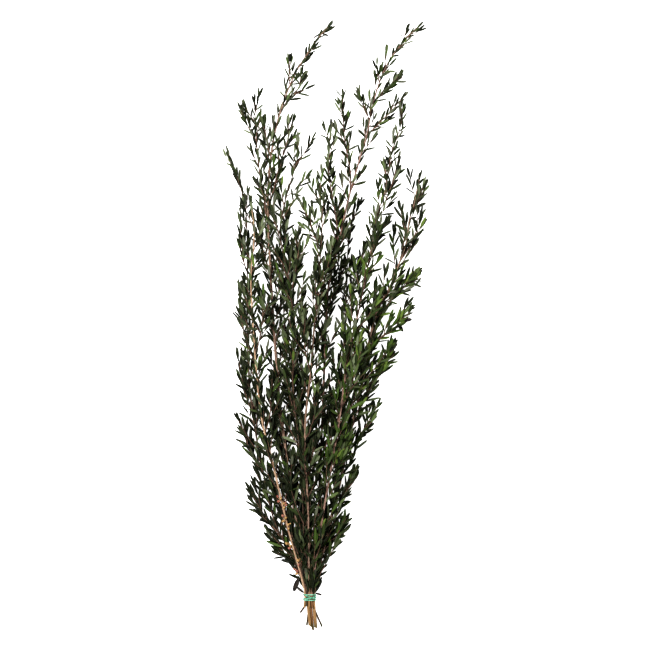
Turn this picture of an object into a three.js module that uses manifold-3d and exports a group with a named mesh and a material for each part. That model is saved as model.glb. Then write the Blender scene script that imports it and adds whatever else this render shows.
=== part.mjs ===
// A hand-tied bundle of tea tree foliage, lying on its side on a flat surface.
// Ten cut stems pass through a rubber tie near their butts and fan out. Six of them fork, and
// leafy side shoots stand all along them. Millimetres: +X across the fan, +Y from the cut
// butts to the tips, +Z up from the surface the bundle lies on.

import * as THREE from 'three';
import { mergeVertices } from 'three/addons/utils/BufferGeometryUtils.js';
import Module from 'manifold-3d';

const wasm = await Module();
wasm.setup();

// The bundle as a whole
const BUNCH_LENGTH = 779; // cut butts to the highest leaf tip
const BUNCH_WIDTH = 264; // the outermost leaf tips of the fan
const BUNCH_HEIGHT = 98; // the surface to the top of the foliage, lying down

// Stems, forks and twigs: the diameters at the thick end, and where they run out
const THICK_STEM = 3.8;
const MIDDLE_STEM = 2.8;
const THIN_STEM = 2.2;
const STEM_END = 1.1;
const FORK = 2;
const TWIG = 1.5;
const TWIG_END = 0.8;
const TWIG_BEND = 0.45; // the share of its length at which a side shoot bows out furthest
const TWIG_BOW = 0.09; // how far it bows out there, as a share of its length

// Leaves
const LEAF_LENGTH = 18;
const LEAF_WIDTH = 3.4;
const LEAF_THICKNESS = 0.8;
const LEAF_STEP = 11; // along a twig, from one leaf to the next
const LEAF_LEAN = 38; // degrees between a leaf and its twig
const END_LEAF_LEAN = 8; // and for the leaf at a twig's very end
const STEM_LEAVES = 22; // the leafy length at the end of each stem
const FORK_LEAFY = 0.7; // the leafy shares of a fork's and a side shoot's length
const SHOOT_LEAFY = 0.75;
const FEWEST_LEAVES = 3; // on any limb
const LEAF_FOOT = 0.15; // the share of a leaf beside its own twig, which needs no room

// The tie
const TIE_WIDTH = 8; // along the stems
const TIE_WALL = 1; // the rubber, wound several times over
const TIE_PLACE = 42; // from the cut butts to the middle of the tie
const TIE_ACROSS = -18.5; // the tie sits a little left of the fan's middle
const TIE_STRAIGHT = TIE_WIDTH / 2 + 1; // the stems run straight this far from its middle
const TIE_CORNERS = 16; // on each stem's circle, for the band's outline

const CLEARANCE = 0.35; // between any two pieces
const STAND_OFF = 1.5 * CLEARANCE; // between a limb's foot and the stem it leaves
const SAME_CORNER = 1e-4; // corners this close are one
const STRAIGHT_ON = 1e-6; // a corner that turns less than this is left out of an outline
const STEM_SIDES = 8;
const TWIG_SIDES = 4;
const TWIG_STEPS = 4;
const TWIG_TRIES = 31; // at turns of TWIG_TURN to either side
const TWIG_TURN = THREE.MathUtils.degToRad(10);
const GOLDEN_ANGLE = THREE.MathUtils.degToRad(137.5);

const BARK = '#a5714c';
const DARK_BARK = '#5f4330';
const DARK_LEAF = '#232f1c';
const FRESH_LEAF = '#3f6427';
const TIE_COLOUR = '#6fc4a0';

// A route's points are [across, along, up], in per cent of the bundle's width, length and height.
// Across counts from the fan's middle, along from the cut butts, and up from the surface.
function place([across, along, up]) {
  return new THREE.Vector3(
    (across / 100) * BUNCH_WIDTH,
    (along / 100 - 0.5) * BUNCH_LENGTH,
    (up / 100) * BUNCH_HEIGHT,
  );
}

// The stems lie in three rows inside the tie, each row listed from left to right.
// butt is where the cut end stands, from the stem's place in the tie: across, back and up.
const STEM_ROWS = [
  [
    {
      name: 'far_left', thick: THIN_STEM, bark: DARK_BARK, butt: [-9.5, 20, 0],
      route: [[-12, 10.5, 4], [-23, 17, 9], [-30, 27, 15], [-35, 37, 20], [-37, 47.5, 24],
        [-37, 58, 25], [-38, 69, 22], [-41.5, 74, 19], [-46, 78, 17]],
    },
    {
      name: 'back_left', thick: THIN_STEM, bark: DARK_BARK, butt: [-3.5, 36, -0.6],
      route: [[-9.5, 18, 6], [-13, 31, 9], [-18, 42, 11], [-19.5, 53, 12], [-19.5, 62, 13],
        [-18, 69, 13]],
    },
    {
      name: 'back_right', thick: THIN_STEM, bark: DARK_BARK, butt: [13.5, 38, -0.8],
      route: [[-1, 18, 4.5], [2, 30, 7], [6, 38, 9], [10, 48, 11], [11, 57, 12], [12, 64, 13],
        [14.5, 69, 13]],
    },
  ],
  [
    {
      name: 'left_front', thick: MIDDLE_STEM, bark: BARK, butt: [-1, 13, 0],
      route: [[-17.5, 17, 20], [-25, 28, 35], [-30, 35, 46], [-34, 50, 57], [-35, 58, 60],
        [-33.5, 65, 60], [-35, 70, 57]],
    },
    {
      name: 'tall_left', thick: THICK_STEM, bark: BARK, butt: [3, 37, 1.4],
      route: [[-13, 17, 15], [-15.5, 22, 21], [-19, 31, 31], [-22, 40, 38], [-25, 55, 45],
        [-27, 71, 45], [-25, 79, 42], [-21, 85, 38], [-13.5, 91.5, 34], [-3, 97, 30],
        [1.5, 98.8, 29]],
    },
    {
      name: 'tall_right', thick: MIDDLE_STEM, bark: BARK, butt: [2.8, 42, -2],
      route: [[-3, 18, 16], [-2, 26, 22], [-0.5, 37, 30], [1, 51, 38], [2, 56, 40],
        [6, 62, 42], [12, 71, 42], [17, 77, 41], [20.5, 81, 40], [23.5, 86, 38],
        [28, 91, 36], [33, 94.2, 35], [41, 97.5, 33], [44.8, 98.7, 32]],
    },
    {
      name: 'outer_right', thick: THICK_STEM, bark: BARK, butt: [2.8, 39, 0],
      route: [[2.5, 17, 8.5], [7.5, 24, 14], [13, 33, 22], [18, 40, 29], [23.5, 50, 36],
        [26.5, 53, 37], [32, 56.5, 38], [36, 60, 37], [40, 64, 35], [41, 67, 33],
        [43.5, 70, 30], [46, 74, 26]],
    },
  ],
  [
    {
      name: 'inner_left', thick: THIN_STEM, bark: DARK_BARK, butt: [-1, 11, 1],
      route: [[-10, 18, 27], [-10.5, 26, 38], [-15, 41, 57], [-14, 50, 64], [-17, 58, 68],
        [-21, 65.5, 68], [-18, 71, 64], [-13, 77, 58], [-12.5, 80, 55]],
    },
    {
      name: 'centre', thick: MIDDLE_STEM, bark: BARK, butt: [0, 12, 1.2],
      route: [[-7.5, 18, 32], [-9, 34, 57], [-6.5, 42, 66], [-4, 52.6, 73], [-2, 60, 75],
        [-1, 68, 74], [-3, 73, 70]],
    },
    {
      name: 'right', thick: MIDDLE_STEM, bark: BARK, butt: [1, 13, 1],
      route: [[-1, 18, 28], [3.5, 27, 41], [8, 36, 51], [12, 46, 60], [16, 51.5, 65],
        [20, 58, 68], [23, 63, 68], [26.5, 69, 64], [30, 73, 59], [29.5, 75.5, 56]],
    },
  ],
];

// Forks leave a stem at a height along the bundle, and then follow a route of their own.
const FORKS = [
  {
    name: 'fork_left', parent: 'tall_left', from: 66.5,
    route: [[-29.5, 72, 42], [-31.5, 76, 40], [-32.5, 80, 38], [-33, 84, 36], [-33.5, 86.5, 35]],
  },
  {
    name: 'fork_inner_left', parent: 'tall_left', from: 69.5,
    route: [[-24, 72.5, 48], [-22, 75.5, 48], [-19, 78.5, 46], [-17, 81, 44], [-15, 83.3, 42]],
  },
  {
    name: 'fork_centre', parent: 'tall_right', from: 60,
    route: [[6.8, 65.5, 50], [5, 69, 54], [3, 73, 55], [2, 76, 53], [3, 80, 49], [3.5, 82.5, 47]],
  },
  {
    name: 'fork_inner_right', parent: 'tall_right', from: 72,
    route: [[12.6, 75, 46], [11.5, 77.5, 47], [10, 80, 47], [9.2, 84, 45], [9, 87, 43]],
  },
  {
    name: 'fork_right', parent: 'tall_right', from: 79.5,
    route: [[24, 82.3, 37], [28.5, 83.8, 35], [32, 84.5, 34], [34.5, 86, 33], [38, 87.4, 32]],
  },
  {
    name: 'fork_outer_right', parent: 'right', from: 73.6,
    route: [[31.3, 76, 53], [32.5, 78.5, 49], [35, 80.5, 46], [37, 82.7, 44], [38, 85, 42]],
  },
];

// Side shoots: where each leaves its parent along the bundle, and where its twig ends.
const SHOOTS = {
  far_left: [
    [11, [-22, 13.4, 7]], [16, [-35, 22.6, 10]], [26, [-40.5, 34, 13]],
    [36, [-41.5, 45, 18]], [48, [-41, 56, 20]], [59, [-40.5, 67, 32]],
  ],
  left_front: [[21, [-15.5, 28.5, 50]], [33, [-25, 41.4, 64]], [46, [-29, 55, 74]]],
  tall_left: [[27, [-24, 35.5, 22]], [59, [-31.5, 68, 36]], [78, [-28.5, 83, 48]],
    [86, [-9.8, 90.2, 42]], [89.5, [-16, 93.4, 28]]],
  fork_left: [[80.5, [-39.2, 85, 32]]],
  inner_left: [[24, [-5, 31.5, 54]], [45, [-10.5, 53, 78]], [56, [-12, 65, 78]]],
  centre: [[32, [-2.5, 40, 78]], [43, [-10, 51, 87]], [55, [4, 63, 87]], [63, [-9, 69.5, 84]]],
  tall_right: [[29, [5, 37, 40]], [52, [9, 60, 30]], [84, [17, 87.8, 48]], [87, [36, 91, 28]],
    [90, [25.5, 92.5, 44]]],
  right: [[25, [10.5, 31.7, 48]], [37, [16.5, 45, 72]], [60, [27, 66.5, 78]],
    [69, [35.5, 77, 54]]],
  outer_right: [[13.5, [9.5, 17.6, 5]], [20.5, [14.5, 25.6, 10]], [30, [25.5, 36.8, 16]],
    [39, [33, 46.4, 22]], [47, [39.5, 52.4, 32]], [54, [44, 58.3, 46]], [61, [46.8, 68, 30]],
    [69, [48.5, 72.6, 19]]],
  back_left: [[35, [-11.5, 44, 4]], [54, [-15, 63, 4]]],
  back_right: [[39, [16.5, 47, 3]], [54, [19, 62.5, 4]]],
};

// Leaves are fresher green on the outer right of the bundle.
const FRESH_PARENTS = ['outer_right', 'right'];

// Room: every limb and leaf is kept as a chain of round-ended rods, so the next can be tried.
const rods = [];

function addRods(points, radii, owner) {
  for (let i = 1; i < points.length; i++) {
    const line = new THREE.Line3(points[i - 1], points[i]);
    rods.push({ line, radius: Math.max(radii[i - 1], radii[i]), owner });
  }
}

// The least distance from a chain of points to the other pieces, less both radii.
function room(points, radii, owner) {
  let least = Infinity;
  const line = new THREE.Line3();
  const nearest = new THREE.Vector3();
  const other = new THREE.Vector3();
  for (let i = 1; i < points.length; i++) {
    line.set(points[i - 1], points[i]);
    const radius = Math.max(radii[i - 1], radii[i]);
    for (const rod of rods) {
      if (rod.owner === owner) continue;
      const apart = Math.sqrt(line.distanceSqToLine3(rod.line, nearest, other));
      least = Math.min(least, apart - radius - rod.radius);
    }
  }
  return least;
}

// A closed geometry as a manifold solid, and a solid back as a geometry.
function solidOf(geometry) {
  const bare = geometry.clone();
  bare.deleteAttribute('normal');
  bare.deleteAttribute('uv');
  const merged = mergeVertices(bare, SAME_CORNER);
  return new wasm.Manifold(new wasm.Mesh({
    numProp: 3,
    vertProperties: merged.getAttribute('position').array,
    triVerts: new Uint32Array(merged.index.array),
  }));
}

function geometryOf(solid) {
  const mesh = solid.getMesh();
  const geometry = new THREE.BufferGeometry();
  geometry.setAttribute('position', new THREE.BufferAttribute(mesh.vertProperties, 3));
  geometry.setIndex(new THREE.BufferAttribute(mesh.triVerts, 1));
  geometry.computeVertexNormals();
  return geometry;
}

// A route's rings stand at its own points, not at equal distances along it.
class Route extends THREE.CatmullRomCurve3 {
  constructor(points) {
    super(points, false, 'centripetal');
  }

  getPointAt(share, target) {
    return this.getPoint(share, target);
  }

  getTangentAt(share, target) {
    return this.getTangent(share, target);
  }
}

// A limb is a tapered round bar along a curve: a polygon is extruded along it, and each of its
// rings is then drawn in towards the curve.
function limb(name, curve, startRadius, endRadius, sides, steps) {
  const rings = curve.getSpacedPoints(steps);
  const radii = rings.map((_, i) => THREE.MathUtils.lerp(startRadius, endRadius, i / steps));
  const corner = new THREE.Vector3();
  const section = new THREE.Shape();
  for (let i = 0; i < sides; i++) {
    const turn = (i / sides) * 2 * Math.PI;
    if (i === 0) section.moveTo(Math.cos(turn), Math.sin(turn));
    else section.lineTo(Math.cos(turn), Math.sin(turn));
  }
  const geometry = new THREE.ExtrudeGeometry(section, {
    steps, extrudePath: curve, bevelEnabled: false,
  });
  const corners = geometry.getAttribute('position');
  for (let i = 0; i < corners.count; i++) {
    corner.fromBufferAttribute(corners, i);
    const apart = rings.map((ring) => ring.distanceToSquared(corner));
    const nearest = apart.indexOf(Math.min(...apart));
    corner.sub(rings[nearest]).multiplyScalar(radii[nearest]).add(rings[nearest]);
    corners.setXYZ(i, corner.x, corner.y, corner.z);
  }
  addRods(rings, radii, name);
  const spans = rings.slice(1).map((ring, i) => ring.distanceTo(rings[i]));
  const length = spans.reduce((sum, span) => sum + span, 0);
  return { name, rings, radii, spans, length, geometry };
}

// Where a limb is, a share of the way along the chain of its rings
function stationAt(chain, ring, share) {
  const from = chain.rings[ring];
  const to = chain.rings[ring + 1];
  return {
    point: from.clone().lerp(to, share),
    heading: to.clone().sub(from).normalize(),
    radius: THREE.MathUtils.lerp(chain.radii[ring], chain.radii[ring + 1], share),
  };
}

// Where a limb is at a given distance along the bundle
function station(chain, along) {
  const y = (along / 100 - 0.5) * BUNCH_LENGTH;
  const next = chain.rings.findIndex((ring) => ring.y > y);
  const [from, to] = [chain.rings[next - 1], chain.rings[next]];
  return stationAt(chain, next - 1, (y - from.y) / (to.y - from.y));
}

// The stems' places inside the tie: rows of touching stems, with the clearance between them.
function tieSlots() {
  const slots = [];
  const wall = TIE_WALL + CLEARANCE;
  let low = wall;
  for (const row of STEM_ROWS) {
    const width = row.reduce((sum, stem) => sum + stem.thick, 0) + CLEARANCE * (row.length - 1);
    const tallest = Math.max(...row.map((stem) => stem.thick));
    let left = TIE_ACROSS - width / 2;
    for (const stem of row) {
      const x = left + stem.thick / 2;
      const z = low + tallest / 2;
      slots.push({ ...stem, x, z });
      left += stem.thick + CLEARANCE;
    }
    low += tallest + CLEARANCE;
  }
  return slots;
}

// A stem: its cut butt, a straight length through the tie, and its route into the fan.
const TIE_Y = TIE_PLACE - BUNCH_LENGTH / 2;

function stem({ name, thick, butt, route, x, z }) {
  const [across, back, up] = butt;
  const points = [
    new THREE.Vector3(x + across, TIE_Y - back, z + up),
    new THREE.Vector3(x, TIE_Y - TIE_STRAIGHT, z),
    new THREE.Vector3(x, TIE_Y + TIE_STRAIGHT, z),
    ...route.map(place),
  ];
  return limb(name, new Route(points), thick / 2, STEM_END / 2, STEM_SIDES, points.length - 1);
}

// The band round the stems: the taut outline of their circles, wall thickness outside it.
function tautOutline(slots, margin) {
  const points = [];
  for (const slot of slots) {
    const reach = slot.thick / 2 + margin;
    for (let i = 0; i < TIE_CORNERS; i++) {
      const turn = (i / TIE_CORNERS) * 2 * Math.PI;
      const [x, z] = [slot.x + reach * Math.cos(turn), slot.z + reach * Math.sin(turn)];
      points.push(new THREE.Vector2(x, z));
    }
  }
  points.sort((p, q) => p.x - q.x || p.y - q.y);
  const half = (ordered) => {
    const chain = [];
    for (const p of ordered) {
      while (chain.length > 1) {
        const [a, b] = chain.slice(-2);
        const turned = (b.x - a.x) * (p.y - a.y) - (b.y - a.y) * (p.x - a.x);
        if (turned > STRAIGHT_ON) break;
        chain.pop();
      }
      chain.push(p);
    }
    return chain.slice(0, -1);
  };
  return [...half(points), ...half(points.toReversed())];
}

function tieBand(slots) {
  const outline = new THREE.Shape(tautOutline(slots, CLEARANCE + TIE_WALL));
  outline.holes.push(new THREE.Path(tautOutline(slots, CLEARANCE)));
  const band = new THREE.ExtrudeGeometry(outline, { depth: TIE_WIDTH, bevelEnabled: false });
  band.rotateX(Math.PI / 2);
  band.translate(0, TIE_Y + TIE_WIDTH / 2, 0);
  return band;
}

// A fork starts beside its parent, in the direction of the first point of its route.
function fork({ name, parent, from, route }) {
  const start = station(limbs.get(parent), from);
  const points = route.map(place);
  const aside = points[0].clone().sub(start.point).projectOnPlane(start.heading).normalize();
  const reach = start.radius + STAND_OFF + FORK / 2;
  points.unshift(start.point.clone().addScaledVector(aside, reach));
  return limb(name, new Route(points), FORK / 2, STEM_END / 2, TWIG_SIDES, points.length - 1);
}

// A side shoot's twig bows out of its parent's side and turns towards the tips. Where another
// piece is in its way it is turned about its parent, a little at a time to either side.
function twigCurve(start, tip) {
  const reach = tip.clone().sub(start.point);
  const aside = reach.clone().projectOnPlane(start.heading).normalize();
  const stand = start.radius + STAND_OFF + TWIG / 2;
  const foot = start.point.clone().addScaledVector(aside, stand);
  const bend = foot.clone().lerp(tip, TWIG_BEND);
  bend.addScaledVector(aside, reach.length() * TWIG_BOW);
  return new THREE.QuadraticBezierCurve3(foot, bend, tip);
}

function twig(name, parentName, from, end) {
  const start = station(limbs.get(parentName), from);
  const reach = place(end).sub(start.point);
  const lowest = TWIG / 2 + CLEARANCE;
  let best = null;
  for (let i = 0; i < TWIG_TRIES; i++) {
    const turn = TWIG_TURN * Math.ceil(i / 2) * (i % 2 ? 1 : -1);
    const tip = reach.clone().applyAxisAngle(start.heading, turn).add(start.point);
    tip.z = Math.max(tip.z, lowest);
    const curve = twigCurve(start, tip);
    const points = curve.getSpacedPoints(TWIG_STEPS);
    const free = room(points, points.map(() => TWIG / 2), name);
    if (!best || free > best.free) best = { free, curve };
    if (free > CLEARANCE) break;
  }
  return limb(name, best.curve, TWIG / 2, TWIG_END / 2, TWIG_SIDES, TWIG_STEPS);
}

// A leaf is a narrow lance with its widest part at the middle. Its flat side faces the twig, or
// the surface if the leaf lies on it.
function leafGeometry(foot, tip, facingLine) {
  const length = foot.distanceTo(tip);
  const axis = tip.clone().sub(foot).normalize();
  const across = new THREE.Vector3().crossVectors(facingLine, axis).normalize();
  const facing = new THREE.Vector3().crossVectors(across, axis);
  const leaf = new THREE.OctahedronGeometry(1);
  leaf.scale(LEAF_WIDTH / 2, length / 2, LEAF_THICKNESS / 2);
  leaf.applyMatrix4(new THREE.Matrix4().makeBasis(across, axis, facing));
  const middle = foot.clone().lerp(tip, 0.5);
  leaf.translate(middle.x, middle.y, middle.z);
  return leaf;
}

// Each leaf is turned about its twig by the golden angle from the last one, and on again and at
// other leans until it has room. A leaf that would point into the surface lies down on it.
const OTHER_LEANS = [0, 14, -12, 28, 42];
const TURNS = 13;
const UP = new THREE.Vector3(0, 0, 1);

function leaf(owner, foot, heading, turn, lean) {
  const side = UP.clone().cross(heading).normalize();
  const width = LEAF_WIDTH / 2;
  let best = null;
  for (let i = 0; i < TURNS * OTHER_LEANS.length; i++) {
    const turned = turn + i * GOLDEN_ANGLE;
    const steep = THREE.MathUtils.degToRad(lean + OTHER_LEANS[Math.floor(i / TURNS)]);
    const out = side.clone().applyAxisAngle(heading, turned);
    const axis = heading.clone().multiplyScalar(Math.cos(steep));
    axis.addScaledVector(out, Math.sin(steep));
    const tip = foot.clone().addScaledVector(axis, LEAF_LENGTH);
    const lies = tip.z < LEAF_WIDTH;
    tip.z = Math.max(tip.z, 0);
    const free = room([foot.clone().lerp(tip, LEAF_FOOT), tip], [width, width], owner);
    if (!best || free > best.free) best = { free, tip, lies, turned };
    if (free > CLEARANCE) break;
  }
  addRods([foot, best.tip], [width, width], owner);
  const geometry = leafGeometry(foot, best.tip, best.lies ? UP : heading);
  return { geometry, turn: best.turned + GOLDEN_ANGLE };
}

// The leaves of one limb start at a distance from its end, and the last stands on the very end.
function leaves(made, reach, firstTurn) {
  const count = Math.max(FEWEST_LEAVES, Math.round(reach / LEAF_STEP));
  const last = made.length - LEAF_WIDTH / 4;
  const first = made.length - reach;
  const grown = [];
  let turn = firstTurn;
  for (let i = 0; i < count; i++) {
    let left = THREE.MathUtils.lerp(first, last, i / (count - 1));
    let ring = 0;
    while (left > made.spans[ring]) left -= made.spans[ring++];
    const { point, heading } = stationAt(made, ring, left / made.spans[ring]);
    const lean = i === count - 1 ? END_LEAF_LEAN : LEAF_LEAN;
    const next = leaf(made.name, point, heading, turn, lean);
    grown.push(next.geometry);
    turn = next.turn;
  }
  return grown;
}

// One body of a limb and its leaves
function leafy(made, reach, firstTurn) {
  const grown = leaves(made, reach, firstTurn).map(solidOf);
  return geometryOf(grown.reduce((whole, next) => whole.add(next), solidOf(made.geometry)));
}

function mesh(name, geometry, colour, roughness) {
  const material = new THREE.MeshStandardMaterial({ color: colour, roughness, metalness: 0 });
  const made = new THREE.Mesh(geometry, material);
  made.name = name;
  return made;
}

// Limbs first, so that every leaf finds them in place.
const limbs = new Map();
const slots = tieSlots();
for (const slot of slots) limbs.set(slot.name, stem(slot));
for (const each of FORKS) limbs.set(each.name, fork(each));
const twigs = [];
for (const [parent, ends] of Object.entries(SHOOTS)) {
  ends.forEach(([from, end], i) => {
    const name = `shoot_${parent}_${i + 1}`;
    twigs.push({ name, parent, made: twig(name, parent, from, end) });
  });
}

const bundle = new THREE.Group();
bundle.name = 'tea_tree_bundle';
bundle.add(mesh('tie_band', tieBand(slots), TIE_COLOUR, 0.6));
slots.forEach((slot, i) => {
  const made = limbs.get(slot.name);
  bundle.add(mesh(`stem_${slot.name}`, leafy(made, STEM_LEAVES, i), slot.bark, 0.8));
});
FORKS.forEach((each, i) => {
  const made = limbs.get(each.name);
  bundle.add(mesh(each.name, leafy(made, FORK_LEAFY * made.length, i), DARK_LEAF, 0.6));
});
twigs.forEach(({ name, parent, made }, i) => {
  const colour = FRESH_PARENTS.includes(parent) ? FRESH_LEAF : DARK_LEAF;
  bundle.add(mesh(name, leafy(made, SHOOT_LEAFY * made.length, i), colour, 0.6));
});

// The fan's leaf tips are centred over the origin, which stays on the surface.
const box = new THREE.Box3().setFromObject(bundle);
bundle.position.set(-(box.min.x + box.max.x) / 2, -(box.min.y + box.max.y) / 2, -box.min.z);

export default bundle;
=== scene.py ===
"""A hand-tied bundle of tea tree foliage, lying on a pale floor.

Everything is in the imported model's frame: +X across the fan, +Y from the cut butts to the tips,
+Z up from the floor. Shapes are worked out in millimetres and made in metres. The lines of the
stems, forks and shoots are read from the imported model, and dressed in wood, twigs and leaves.
"""

import math

import bpy
import numpy as np
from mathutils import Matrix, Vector


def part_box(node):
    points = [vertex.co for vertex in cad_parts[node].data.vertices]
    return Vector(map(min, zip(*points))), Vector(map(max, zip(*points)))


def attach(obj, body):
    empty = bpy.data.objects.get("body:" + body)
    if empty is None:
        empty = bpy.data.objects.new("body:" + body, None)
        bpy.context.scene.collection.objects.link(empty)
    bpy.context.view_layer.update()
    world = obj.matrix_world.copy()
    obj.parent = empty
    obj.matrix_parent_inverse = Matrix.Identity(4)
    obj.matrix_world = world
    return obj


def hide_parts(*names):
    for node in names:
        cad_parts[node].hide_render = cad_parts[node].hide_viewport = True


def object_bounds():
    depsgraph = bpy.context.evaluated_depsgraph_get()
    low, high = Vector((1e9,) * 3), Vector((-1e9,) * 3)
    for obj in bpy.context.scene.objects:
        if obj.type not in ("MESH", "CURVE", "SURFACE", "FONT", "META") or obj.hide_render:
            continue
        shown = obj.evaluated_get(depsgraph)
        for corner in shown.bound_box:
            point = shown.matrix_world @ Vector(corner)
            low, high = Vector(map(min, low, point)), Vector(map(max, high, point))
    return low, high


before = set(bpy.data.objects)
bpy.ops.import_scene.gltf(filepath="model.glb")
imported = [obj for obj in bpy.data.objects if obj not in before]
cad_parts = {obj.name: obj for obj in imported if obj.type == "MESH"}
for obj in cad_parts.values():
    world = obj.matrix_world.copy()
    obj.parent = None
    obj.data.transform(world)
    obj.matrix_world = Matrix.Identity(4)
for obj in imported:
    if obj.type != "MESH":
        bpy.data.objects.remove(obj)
cad_low, cad_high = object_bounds()

MM = 0.001
TINY = 1e-6
FULL_TURN = 2 * math.pi
GOLDEN_ANGLE = math.radians(137.5)
UP = np.array([0.0, 0.0, 1.0])
rng = np.random.default_rng(42)

# One leaf
LEAF_LENGTH = 17.2
LEAF_WIDTH = 3.05
LEAF_THICKNESS = 0.32
LEAF_STATIONS = (0.0, 0.14, 0.34, 0.62, 0.87, 1.0)  # its rows of corners, as shares of its length
LEAF_OUTLINE = (0.26, 0.64, 0.97, 1.0, 0.73, 0.2)  # its breadth there, as shares of its width
LEAF_KINDS = 5
KIND_BREADTH = 0.1  # by this share a kind is broader or narrower than the outline
KIND_FOLDS = (0.1, 0.13, 0.16)  # how deep a kind is folded along its rib, as shares of its width
WIDEST_KIND = 1.12
SWATCHES = 4  # the leaf colours stand in a square of this many rows and columns
SWATCH_EDGE = 0.06  # of a swatch, kept clear of its neighbours

# How leaves vary by chance: evenly between two values, or about a mean with a spread
LENGTH_VARIES = (0.82, 1.15)
WIDTH_VARIES = (0.85, 1.15)
BOW_VARIES = (-0.04, 0.06)  # as shares of the length
ROLL_VARIES = (0, 0.28)

# Wood
STEM_SIDES = 10
STEM_RINGS = 130
TWIG_SIDES = 5
TWIG_RINGS = 9
FORK_FOOT = 1.05
SHOOT_FOOT = 0.8
TWIG_FOOT = 0.62
TWIG_TIP = 0.3
TWIG_STEPS = 6
TURN_UP = 0.5  # a twig's tip has turned back towards its parent's heading by this share
CUT_INSETS = (0.14, 0.6)  # a cut face's bark edge and its ring of wood, as shares of its radius

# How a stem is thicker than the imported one, as shares of its radius, and over what length
MIDDLE_SWELL = 0.3
FOOT_SWELL = 0.12
FOOT_LENGTH = 60
KNOT_SWELL = 0.14
KNOT_LENGTH = 2.5
KNOT_GAP = 17
KNOT_SHIFT = 5

# How the foliage changes from the butts to the tips: shares of the way, and the values there
HEIGHTS = (0.06, 0.2, 0.4, 0.56, 0.68, 0.8, 0.9, 1.0)
SHOOT_GAP = (6.8, 13.5, 12, 10, 17, 15.5, 12, 11)
SHOOT_LENGTH = (36, 36, 33, 29, 25, 20, 16, 9)
SHOOT_LEAN = (14, 20, 24, 27, 29, 30, 30, 24)
LEAF_SIZE = (1.1, 1.15, 1.08, 1.03, 0.99, 0.95, 0.93, 0.85)
LEAF_GAP = (4.8, 4.8, 4.8, 4.9, 5.1, 5.1, 5.0, 4.2)
LEAF_BREADTH = (1.12, 1.1, 1.05, 1.02, 0.98, 0.94, 0.92, 0.88)

# How leaves change along one twig: shares of its length, and the values there
LEAN_ALONG = ((0, 0.6, 1), (36, 28, 12))
SIZE_ALONG = ((0, 0.5, 0.85, 1), (0.85, 1.05, 0.95, 0.75))

# Each stem's gaps between twigs, read evenly from its foliage's start to its tip, and the length
# of its twigs, both as multiples of the usual
FULLER = {
    "stem_far_left": ((0.8, 1.25, 1.6), 1.15),
    "stem_back_left": ((0.65, 1.0, 1.7), 1.1),
    "stem_back_right": ((1.1, 1.5, 2.2), 0.95),
    "stem_left_front": ((1.0, 1.1, 1.4), 1.0),
    "stem_tall_left": ((0.9, 1.1, 1.35), 1.05),
    "stem_tall_right": ((1.35, 0.9, 1.1), 1.0),
    "stem_inner_left": ((1.1, 0.85, 1.0), 1.35),
    "stem_centre": ((1.5, 0.75, 1.1), 1.3),
    "stem_outer_right": ((1.2, 0.45, 1.0), 1.4),
    "stem_right": ((1.55, 0.75, 0.7), 1.2),
}
BARE_TOP = 0.45  # the share of twigs that is left out on the upper side of a stem

# Where the foliage starts above the tie, and how near a limb's tip the last twig grows
FOLIAGE_START = {"stem_left_front": 140, "stem_tall_left": 8, "stem_centre": 14}
USUAL_START = 3
LAST_TWIG = 6
TIP_LEAVES = 45  # the length of a stem's tip that bears leaves of its own

# The leaves that press out of the tie
COLLAR_DENSE = 8
COLLAR = 24
COLLAR_GAPS = (1.3, 2.8)  # up to the first height, and from there up to the second
COLLAR_LEAN = (5, 27)

# The left front stem is bare near the tie, and its first twigs leave its upper side free. No leaf
# lies over it this near, up to this share of the bundle's length
BARE_STEM = "stem_left_front"
BARE_LENGTH = 55
BARE_WIDTH = 3.2
BARE_UP_TO = 0.22

# The shares of leaves that take each column and each row of the leaf colours
USUAL_GROWTH = ((0.45, 0.33, 0.16, 0.06), (0.36, 0.34, 0.21, 0.09))
FRESH_GROWTH = ((0.05, 0.2, 0.35, 0.4), (0.16, 0.3, 0.34, 0.2))
FRESH_STEMS = ("stem_right", "stem_outer_right")
FRESH_UP_TO = 0.62  # of the bundle's length, and above it the leaves are the usual colours
CROWDED = 0.75  # the gaps on the fresh part of the fresh stems, as a share of the usual

# Room
FLOOR_GAP = 0.15  # between the floor and the lowest leaves
STRAND_GAP = 0.02  # between the floor and the tie
NEAR_FLOOR = 1.5  # twigs keep this high, and a leaf whose tip would be lower lies on the floor


def unit(v):
    """A vector, or each row of vectors, made one long."""
    v = np.asarray(v, float)
    return v / np.linalg.norm(v, axis=-1, keepdims=True)


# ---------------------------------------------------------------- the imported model's limbs

RING_CORNERS = 8
RING_REACH = 2.95  # neighbouring corners of one ring of a stem lie closer than this
RING_RISE = 1.2  # two rings stand further apart than this
RING_RADIUS = 0.45  # and are wider than this
STEM_POINT_GAP = 4
TWIG_POINT_GAP = 2.5
TWIG_REACHES = (1e3, 6, 3, 2)  # after each fit, the corners this close to the line are kept
FORK_ORDER = 5
SHOOT_ORDER = 3
LAST_LEAF = 17.5  # the length of the leaf beyond a twig's end
LEAST_TWIG = 0.4  # the share of a twig that is kept in any case
JOIN_BACK = 3  # a limb leaves its parent this far below the place nearest to its foot
HEADING_REACH = 1.5  # a direction is taken between places this far to either side


def corners(node):
    """A node's corners, in millimetres."""
    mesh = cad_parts[node].data
    found = np.empty(len(mesh.vertices) * 3)
    mesh.vertices.foreach_get("co", found)
    return np.unique(np.round(found.reshape(-1, 3) / MM, 2), axis=0)


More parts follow.
